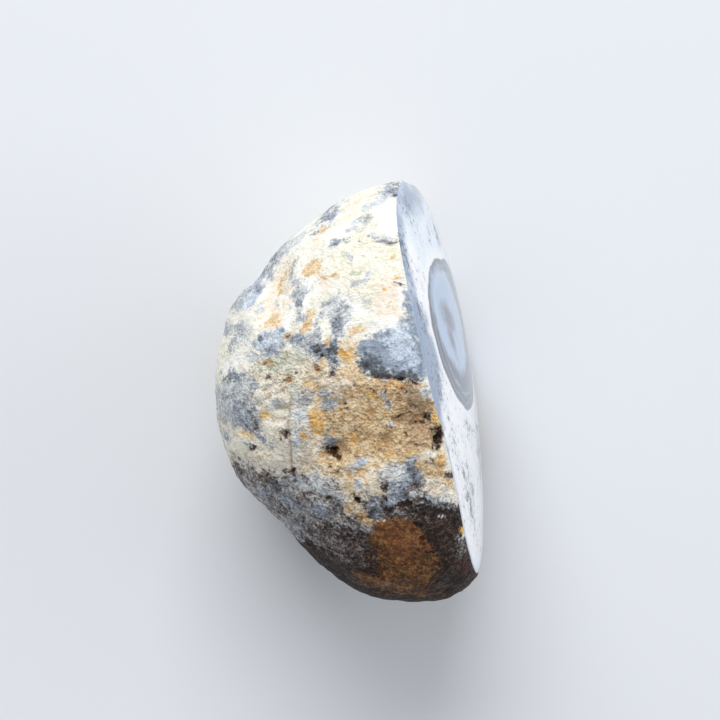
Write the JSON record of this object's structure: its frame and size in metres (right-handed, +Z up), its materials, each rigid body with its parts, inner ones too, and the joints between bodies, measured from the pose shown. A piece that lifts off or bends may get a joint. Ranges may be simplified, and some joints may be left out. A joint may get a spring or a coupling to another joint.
{
  "type": "dendritic opal",
  "caption": "Half nodule of dendritic opal with a rough, weathered, mottled rind and a gently domed polished face; lies on a flat of its rind as a display stone or paperweight.",
  "frame": {"origin": "centre of the stone's bounding box on the surface that it rests on", "axes": "+Z up; +X toward the side of the polished face, which faces +X and leans a little upward; +Y along the stone's length toward its narrow upper tip"},
  "size_m": [0.0347, 0.0534, 0.037],
  "materials": {
    "opal_stone": "matt, finely pitted rind in cream, ochre, grey-blue and near-black patches; one face polished to a gloss, milky blue-white with dark fern-like dendrites and a banded grey eye"
  },
  "bodies": {
    "root": {"opal": "opal_stone"}
  },
  "joints": []
}
